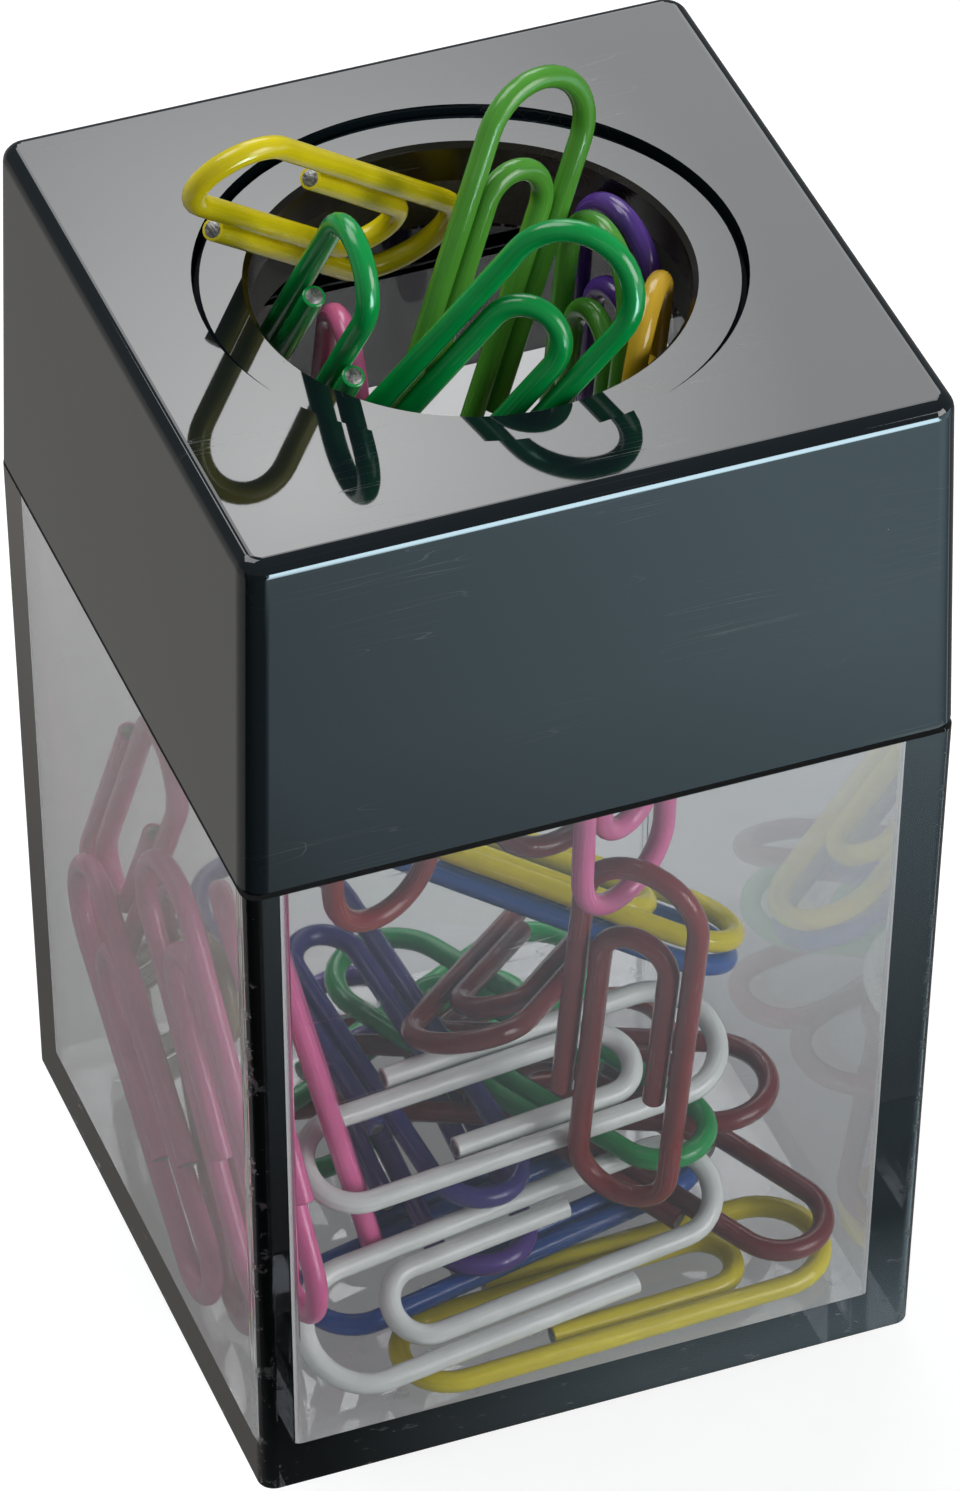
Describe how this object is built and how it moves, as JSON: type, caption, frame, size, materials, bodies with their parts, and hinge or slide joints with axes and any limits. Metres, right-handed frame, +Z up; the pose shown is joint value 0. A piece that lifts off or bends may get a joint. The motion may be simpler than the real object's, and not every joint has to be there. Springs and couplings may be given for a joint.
{
  "type": "magnetic paper clip holder",
  "caption": "Square clear box with a lift-off black cap, a ring magnet round the cap's open mouth, and coated paper clips in the box, under the magnet and in the mouth.",
  "frame": {"origin": "centre of the box's base, on the surface it stands on", "axes": "+Z up along the box's axis, +X to the right and -Y to the front face of the picture"},
  "size_m": [0.042, 0.042, 0.0811],
  "materials": {
    "smoke_clear_plastic": "polished, transparent smoke-tinted polystyrene",
    "black_plastic": "high-gloss black",
    "magnet": "dull pressed ferrite",
    "clip_yellow": "glossy vinyl coating on steel wire",
    "clip_white": "glossy vinyl coating on steel wire",
    "clip_blue": "glossy vinyl coating on steel wire",
    "clip_purple": "glossy vinyl coating on steel wire",
    "clip_dark_red": "glossy vinyl coating on steel wire",
    "clip_green": "glossy vinyl coating on steel wire",
    "clip_indigo": "glossy vinyl coating on steel wire",
    "clip_red": "glossy vinyl coating on steel wire",
    "clip_pink": "glossy vinyl coating on steel wire",
    "clip_magenta": "glossy vinyl coating on steel wire",
    "clip_olive": "glossy vinyl coating on steel wire",
    "clip_leaf": "glossy vinyl coating on steel wire",
    "clip_ochre": "glossy vinyl coating on steel wire"
  },
  "bodies": {
    "box": {"clear_box": "smoke_clear_plastic", "clip_yellow_low": "clip_yellow", "clip_white_lower": "clip_white", "clip_blue_low": "clip_blue", "clip_purple": "clip_purple", "clip_brown": "clip_dark_red", "clip_dark_red": "clip_dark_red", "clip_green": "clip_green", "clip_indigo": "clip_indigo", "clip_white_upper": "clip_white", "clip_red_front": "clip_red", "clip_blue_back": "clip_blue", "clip_yellow_back": "clip_yellow", "clip_red_rear": "clip_red", "clip_teal_rear": "clip_green", "clip_red_far": "clip_dark_red", "clip_pink_corner": "clip_pink", "clip_pink_corner_low": "clip_pink", "clip_pink_left": "clip_pink", "clip_pink_left_low": "clip_pink", "clip_magenta_left": "clip_magenta", "clip_olive_left": "clip_olive"},
    "cap": {"cap": "black_plastic", "magnet_ring": "magnet", "cover_ring": "black_plastic", "clip_pink_hang": "clip_pink", "clip_red_hang": "clip_red", "clip_leaf_second": "clip_leaf", "clip_pink_bore": "clip_pink", "clip_purple_bore": "clip_purple", "clip_ochre_bore": "clip_ochre", "clip_dark_red_hang": "clip_dark_red"},
    "leaf_tall_clip": {"clip_leaf_tall": "clip_leaf"},
    "emerald_lean_clip": {"clip_emerald_lean": "clip_green"},
    "emerald_small_clip": {"clip_emerald_small": "clip_green"},
    "yellow_rim_clip": {"clip_yellow_rim": "clip_yellow"}
  },
  "joints": [
    {"name": "cap_lift", "type": "slide", "parent": "box", "child": "cap", "axis": [0, 0, 1], "range_m": [0, 0.03]},
    {"name": "leaf_tall_pull", "type": "slide", "parent": "cap", "child": "leaf_tall_clip", "axis": [0.3971, 0.2201, 0.891], "range_m": [0, 0.022]},
    {"name": "emerald_lean_pull", "type": "slide", "parent": "cap", "child": "emerald_lean_clip", "axis": [0.5755, -0.1759, 0.7986], "range_m": [0, 0.022]},
    {"name": "emerald_small_pull", "type": "slide", "parent": "cap", "child": "emerald_small_clip", "axis": [0.0646, -0.526, 0.848], "range_m": [0, 0.022]},
    {"name": "yellow_rim_pull", "type": "slide", "parent": "cap", "child": "yellow_rim_clip", "axis": [-0.6275, -0.4394, 0.6428], "range_m": [0, 0.022]}
  ]
}
